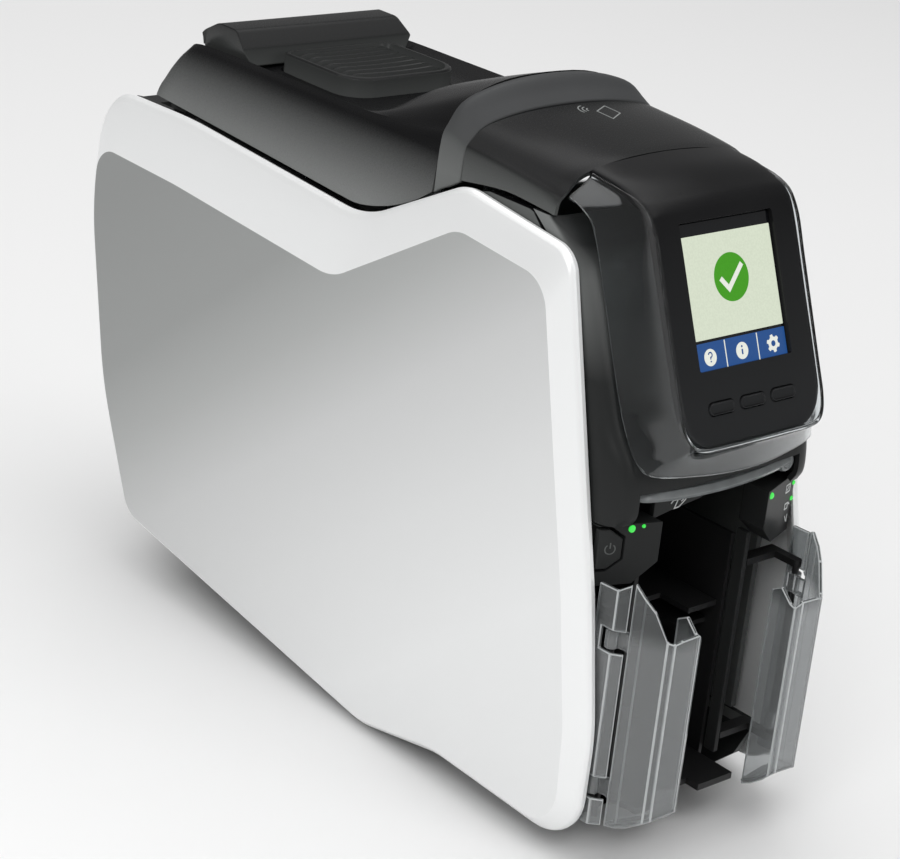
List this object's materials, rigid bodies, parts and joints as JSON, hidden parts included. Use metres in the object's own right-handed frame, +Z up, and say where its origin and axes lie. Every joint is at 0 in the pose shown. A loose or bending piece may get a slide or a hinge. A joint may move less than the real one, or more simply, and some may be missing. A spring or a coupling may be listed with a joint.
{
  "type": "id card printer",
  "caption": "Slim desktop id card printer with silver side panels, a hinged top lid, a leaning screen nose and clear swinging hopper covers.",
  "frame": {"origin": "centre of the footprint on the table", "axes": "+X to the right seen from the front, +Y from the front to the back, +Z up"},
  "size_m": [0.135, 0.3928, 0.297],
  "materials": {
    "silver_shell": "satin",
    "black_shell": "fine texture",
    "graphite_shell": "satin",
    "display_shell": "semi gloss",
    "screen": "lit screen",
    "module_grey": "matte",
    "clear_plastic": "clear moulding",
    "green_light": "light pipe",
    "foot_rubber": "matte",
    "roller_rubber": "ground",
    "clean_rubber": "tacky",
    "steel": "plated",
    "bronze": "sintered",
    "head_metal": "cast",
    "gear_white": "moulded",
    "dark_part": "matte",
    "cassette_blue": "moulded",
    "ribbon": "film",
    "board": "solder mask"
  },
  "bodies": {
    "printer_body": {"left_side_panel": "silver_shell", "right_side_panel": "silver_shell", "base_tray": "black_shell", "feet": "foot_rubber", "body_liner": "black_shell", "rear_cover": "black_shell", "power_inlet": "dark_part", "data_ports": "steel", "front_bezel": "black_shell", "front_cheeks": "black_shell", "saddle_collar": "graphite_shell", "front_top_housing": "black_shell", "display_cover": "display_shell", "screen_module": "module_grey", "screen_glass": "screen", "clear_shroud": "clear_plastic", "slot_lens": "clear_plastic", "status_lights": "green_light", "hopper_bay": "black_shell", "hopper_floor": "black_shell", "hinge_pins": "steel", "lift_spring": "steel", "chassis_plates": "steel", "chassis_bars": "steel", "shaft_bushes": "bronze", "drive_motor": "dark_part", "cassette_frame": "cassette_blue", "ribbon_film": "ribbon", "card_guides": "black_shell", "main_board": "board", "power_supply": "steel", "fan_frame": "dark_part", "cover_screws": "steel"},
    "print_head_body": {"print_head": "head_metal"},
    "lid_body": {"lid": "black_shell", "lid_rear_bar": "black_shell", "lid_frame": "black_shell", "head_bracket": "steel", "head_spring": "steel"},
    "release_pad_body": {"release_pad": "black_shell"},
    "latch_body": {"latch_hook": "steel"},
    "key_left": {"soft_key_left": "display_shell"},
    "key_middle": {"soft_key_middle": "display_shell"},
    "key_right": {"soft_key_right": "display_shell"},
    "button_body": {"power_button": "black_shell"},
    "left_cover_body": {"left_hopper_cover": "clear_plastic"},
    "right_cover_body": {"right_hopper_cover": "clear_plastic"},
    "lift_body": {"lift_plate": "black_shell"},
    "pick_body": {"pick_roller": "roller_rubber"},
    "front_feed_body": {"front_feed_roller": "roller_rubber"},
    "platen_body": {"platen_roller": "roller_rubber"},
    "rear_feed_body": {"rear_feed_roller": "roller_rubber"},
    "pinch_body": {"pinch_rollers": "steel"},
    "cleaning_body": {"cleaning_roller": "clean_rubber"},
    "front_idler_body": {"front_idler": "gear_white"},
    "rear_idler_body": {"rear_idler": "gear_white"},
    "pinion_body": {"motor_pinion": "bronze"},
    "supply_body": {"supply_spool": "ribbon"},
    "takeup_body": {"takeup_spool": "ribbon"},
    "fan_body": {"fan_rotor": "dark_part"}
  },
  "joints": [
    {"name": "lid_hinge", "type": "hinge", "parent": "printer_body", "child": "lid_body", "pos_m": [0, 0.1546, 0.243], "axis": [-1, 0, 0], "range_deg": [0, 72]},
    {"name": "release_pad_slide", "type": "slide", "parent": "lid_body", "child": "release_pad_body", "axis": [0, 0, -1], "range_m": [0, 0.0015], "stiffness_N_per_m": 900, "springref_m": -0.0008},
    {"name": "latch_hinge", "type": "hinge", "parent": "lid_body", "child": "latch_body", "pos_m": [0, 0.0736, 0.248], "axis": [1, 0, 0], "range_deg": [-12, 0]},
    {"name": "print_head_hinge", "type": "hinge", "parent": "lid_body", "child": "print_head_body", "pos_m": [0, 0.0136, 0.19], "axis": [-1, 0, 0], "range_deg": [0, 2], "stiffness_Nm_per_rad": 12, "springref_deg": -5.73},
    {"name": "left_key_press", "type": "slide", "parent": "printer_body", "child": "key_left", "axis": [0, 0.9252, -0.3795], "range_m": [0, 0.001], "stiffness_N_per_m": 400, "springref_m": -0.0004},
    {"name": "middle_key_press", "type": "slide", "parent": "printer_body", "child": "key_middle", "axis": [0, 0.9252, -0.3795], "range_m": [0, 0.001], "stiffness_N_per_m": 400, "springref_m": -0.0004},
    {"name": "right_key_press", "type": "slide", "parent": "printer_body", "child": "key_right", "axis": [0, 0.9252, -0.3795], "range_m": [0, 0.001], "stiffness_N_per_m": 400, "springref_m": -0.0004},
    {"name": "power_button_press", "type": "slide", "parent": "printer_body", "child": "button_body", "axis": [0, 1, 0], "range_m": [0, 0.0015], "stiffness_N_per_m": 500, "springref_m": -0.0004},
    {"name": "left_cover_hinge", "type": "hinge", "parent": "printer_body", "child": "left_cover_body", "pos_m": [-0.0535, -0.1709, 0.06], "axis": [0, 0, -1], "range_deg": [0, 70]},
    {"name": "right_cover_hinge", "type": "hinge", "parent": "printer_body", "child": "right_cover_body", "pos_m": [0.0535, -0.1709, 0.06], "axis": [0, 0, 1], "range_deg": [0, 70]},
    {"name": "lift_plate_slide", "type": "slide", "parent": "printer_body", "child": "lift_body", "axis": [0, 0, 1], "range_m": [0, 0.034]},
    {"name": "front_feed_spin", "type": "hinge", "parent": "printer_body", "child": "front_feed_body", "pos_m": [0, -0.0664, 0.1396], "axis": [1, 0, 0], "continuous": true},
    {"name": "pick_spin", "type": "hinge", "parent": "printer_body", "child": "pick_body", "pos_m": [0, -0.0904, 0.1576], "axis": [1, 0, 0], "continuous": true},
    {"name": "front_idler_spin", "type": "hinge", "parent": "printer_body", "child": "front_idler_body", "pos_m": [0, -0.0364, 0.1396], "axis": [1, 0, 0], "continuous": true},
    {"name": "platen_spin", "type": "hinge", "parent": "printer_body", "child": "platen_body", "pos_m": [0, -0.0064, 0.1396], "axis": [1, 0, 0], "continuous": true},
    {"name": "rear_idler_spin", "type": "hinge", "parent": "printer_body", "child": "rear_idler_body", "pos_m": [0, 0.0236, 0.1396], "axis": [1, 0, 0], "continuous": true},
    {"name": "rear_feed_spin", "type": "hinge", "parent": "printer_body", "child": "rear_feed_body", "pos_m": [0, 0.0536, 0.1396], "axis": [1, 0, 0], "continuous": true},
    {"name": "motor_pinion_spin", "type": "hinge", "parent": "printer_body", "child": "pinion_body", "pos_m": [0, 0.0236, 0.1166], "axis": [1, 0, 0], "continuous": true},
    {"name": "pinch_spin", "type": "hinge", "parent": "printer_body", "child": "pinch_body", "pos_m": [0, -0.0664, 0.1556], "axis": [1, 0, 0], "continuous": true},
    {"name": "cleaning_spin", "type": "hinge", "parent": "printer_body", "child": "cleaning_body", "pos_m": [0, -0.0364, 0.1556], "axis": [1, 0, 0], "continuous": true},
    {"name": "supply_spin", "type": "hinge", "parent": "printer_body", "child": "supply_body", "pos_m": [0, 0.0426, 0.19], "axis": [1, 0, 0], "continuous": true},
    {"name": "takeup_spin", "type": "hinge", "parent": "printer_body", "child": "takeup_body", "pos_m": [0, -0.0564, 0.188], "axis": [1, 0, 0], "continuous": true},
    {"name": "fan_spin", "type": "hinge", "parent": "printer_body", "child": "fan_body", "pos_m": [0, 0.0056, 0.165], "axis": [0, 1, 0], "continuous": true}
  ],
  "couplings": [
    {"joint": "latch_hinge", "follows": "release_pad_slide", "rad_per_m": -139.63},
    {"joint": "pick_spin", "follows": "front_feed_spin", "ratio": -1},
    {"joint": "front_idler_spin", "follows": "front_feed_spin", "ratio": -1},
    {"joint": "platen_spin", "follows": "front_feed_spin", "ratio": 1},
    {"joint": "rear_idler_spin", "follows": "front_feed_spin", "ratio": -1},
    {"joint": "rear_feed_spin", "follows": "front_feed_spin", "ratio": 1},
    {"joint": "motor_pinion_spin", "follows": "front_feed_spin", "ratio": 1.875}
  ]
}
